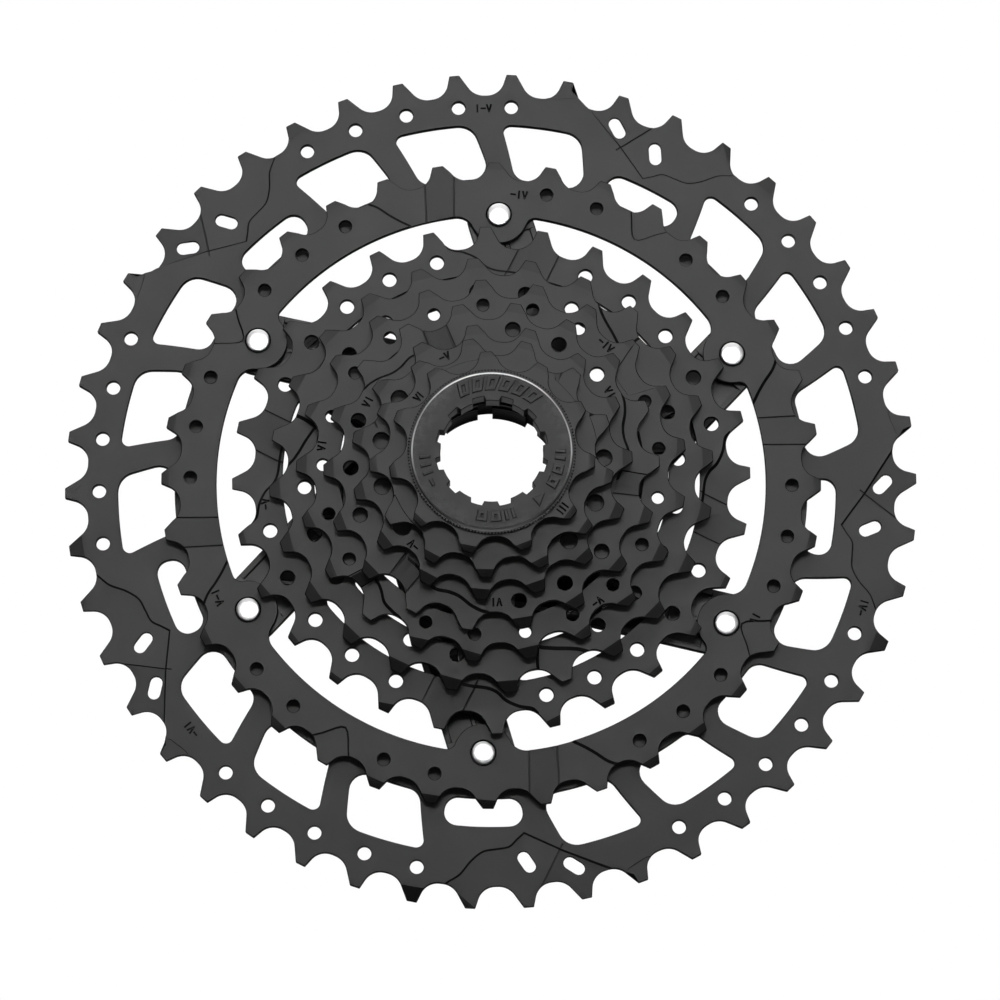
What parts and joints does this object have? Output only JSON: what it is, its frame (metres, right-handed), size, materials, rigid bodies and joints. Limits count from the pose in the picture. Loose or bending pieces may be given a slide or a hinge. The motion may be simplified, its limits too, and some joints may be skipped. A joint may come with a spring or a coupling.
{
  "type": "cassette sprocket",
  "caption": "Stepped stack of toothed bicycle sprockets on a splined bore, riveted and pinned together and closed by a screwed lockring.",
  "frame": {"origin": "on the wheel axle, in the plane of the carrier's seat against the freehub body's shoulder", "axes": "+Z along the axle from the spokes out to the lockring; +X and +Y in the plane of the sprockets"},
  "size_m": [0.1882, 0.188, 0.0389],
  "materials": {
    "sprocket_black": "satin black coating on stamped steel, darker on the cut edges",
    "carrier_grey": "matt grey anodised die casting",
    "spacer_black": "matt black moulded plastic",
    "rivet_steel": "bright plated rivet heads",
    "pin_steel": "plain steel pins",
    "washer_black": "thin blackened steel washer",
    "lockring_black": "fine grained matt black with a bright worn rim"
  },
  "bodies": {
    "stack": {"carrier": "carrier_grey", "sprocket_46t": "sprocket_black", "sprocket_36t": "sprocket_black", "sprocket_28t": "sprocket_black", "sprocket_24t": "sprocket_black", "sprocket_21t": "sprocket_black", "sprocket_18t": "sprocket_black", "sprocket_15t": "sprocket_black", "sprocket_13t": "sprocket_black", "sprocket_11t": "sprocket_black", "spacer_28_24": "spacer_black", "spacer_24_21": "spacer_black", "spacer_21_18": "spacer_black", "spacer_18_15": "spacer_black", "spacer_15_13": "spacer_black", "rivet_1": "rivet_steel", "rivet_2": "rivet_steel", "rivet_3": "rivet_steel", "rivet_4": "rivet_steel", "rivet_5": "rivet_steel", "rivet_6": "rivet_steel", "cluster_pin_1": "pin_steel", "cluster_pin_2": "pin_steel", "cluster_pin_3": "pin_steel"},
    "washer": {"lock_washer": "washer_black"},
    "ring": {"lockring": "lockring_black"}
  },
  "joints": [
    {"name": "lockring_travel", "type": "slide", "parent": "stack", "child": "washer", "axis": [0, 0, 1], "range_m": [0, 0.00635]},
    {"name": "lockring_turn", "type": "hinge", "parent": "washer", "child": "ring", "pos_m": [0, 0, 0.0389], "axis": [0, 0, 1], "range_deg": [0, 2160]}
  ],
  "couplings": [
    {"joint": "lockring_travel", "follows": "lockring_turn", "m_per_rad": 0.0001684}
  ]
}
